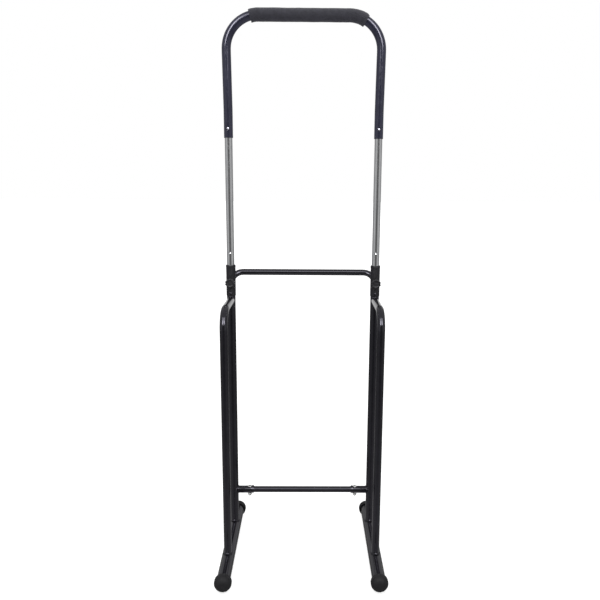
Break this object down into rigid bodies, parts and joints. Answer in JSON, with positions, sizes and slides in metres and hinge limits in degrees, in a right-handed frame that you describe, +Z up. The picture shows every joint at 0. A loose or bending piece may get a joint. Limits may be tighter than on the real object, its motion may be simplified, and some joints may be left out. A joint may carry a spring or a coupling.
{
  "type": "bed assist rail",
  "caption": "Tall free-standing tubular bed assist rail: floor tubes with rubber caps, braced posts, sliding chrome tubes with clamp knobs, and a U-shaped handle with a foam grip.",
  "frame": {"origin": "on the floor, under the middle of the whole rail's box", "axes": "+Z up, +X to the right seen from the front, -Y to the front, where the clamp knobs face"},
  "size_m": [0.409, 0.3796, 1.348],
  "materials": {
    "black_paint": "gloss black powder coat",
    "handle_paint": "gloss blue-black powder coat",
    "chrome": "bright chrome plate",
    "zinc": "bright zinc plate",
    "rubber": "matte moulded rubber",
    "black_plastic": "satin moulded plastic",
    "foam": "matte closed-cell foam with a fine skin"
  },
  "bodies": {
    "base_frame": {"left_base_tube": "black_paint", "right_base_tube": "black_paint", "left_front_cap": "rubber", "left_rear_cap": "rubber", "right_front_cap": "rubber", "right_rear_cap": "rubber", "left_post": "black_paint", "right_post": "black_paint", "left_brace": "black_paint", "right_brace": "black_paint", "left_crossbar_stub": "black_paint", "right_crossbar_stub": "black_paint", "lower_crossbar": "black_paint", "upper_crossbar": "black_paint", "left_crossbar_bolt": "zinc", "right_crossbar_bolt": "zinc", "left_crossbar_nut": "zinc", "right_crossbar_nut": "zinc", "left_collar": "black_plastic", "right_collar": "black_plastic", "left_collar_screw": "black_paint", "right_collar_screw": "black_paint"},
    "sliding_handle": {"u_handle": "handle_paint", "foam_grip": "foam", "left_chrome_tube": "chrome", "right_chrome_tube": "chrome", "left_tube_plug": "black_plastic", "right_tube_plug": "black_plastic"},
    "left_snap_button": {"left_snap_button": "chrome"},
    "right_snap_button": {"right_snap_button": "chrome"},
    "left_knob_washer": {"left_knob_washer": "zinc"},
    "right_knob_washer": {"right_knob_washer": "zinc"},
    "left_lock_knob": {"left_lock_knob": "black_plastic"},
    "right_lock_knob": {"right_lock_knob": "black_plastic"}
  },
  "joints": [
    {"name": "height_slide", "type": "slide", "parent": "base_frame", "child": "sliding_handle", "axis": [0, 0, 1], "range_m": [-0.3, 0]},
    {"name": "left_button_press", "type": "slide", "parent": "sliding_handle", "child": "left_snap_button", "axis": [0, 1, 0], "range_m": [0, 0.0024], "stiffness_N_per_m": 500, "springref_m": -0.004},
    {"name": "right_button_press", "type": "slide", "parent": "sliding_handle", "child": "right_snap_button", "axis": [0, 1, 0], "range_m": [0, 0.0024], "stiffness_N_per_m": 500, "springref_m": -0.004},
    {"name": "left_screw_travel", "type": "slide", "parent": "base_frame", "child": "left_knob_washer", "axis": [0, -1, 0], "range_m": [0, 0.002]},
    {"name": "right_screw_travel", "type": "slide", "parent": "base_frame", "child": "right_knob_washer", "axis": [0, -1, 0], "range_m": [0, 0.002]},
    {"name": "left_knob_turn", "type": "hinge", "parent": "left_knob_washer", "child": "left_lock_knob", "pos_m": [-0.1835, 0.06, 0.692], "axis": [0, -1, 0], "range_deg": [0, 720]},
    {"name": "right_knob_turn", "type": "hinge", "parent": "right_knob_washer", "child": "right_lock_knob", "pos_m": [0.1835, 0.06, 0.692], "axis": [0, -1, 0], "range_deg": [0, 720]}
  ],
  "couplings": [
    {"joint": "left_screw_travel", "follows": "left_knob_turn", "m_per_rad": 0.00015915},
    {"joint": "right_screw_travel", "follows": "right_knob_turn", "m_per_rad": 0.00015915}
  ]
}
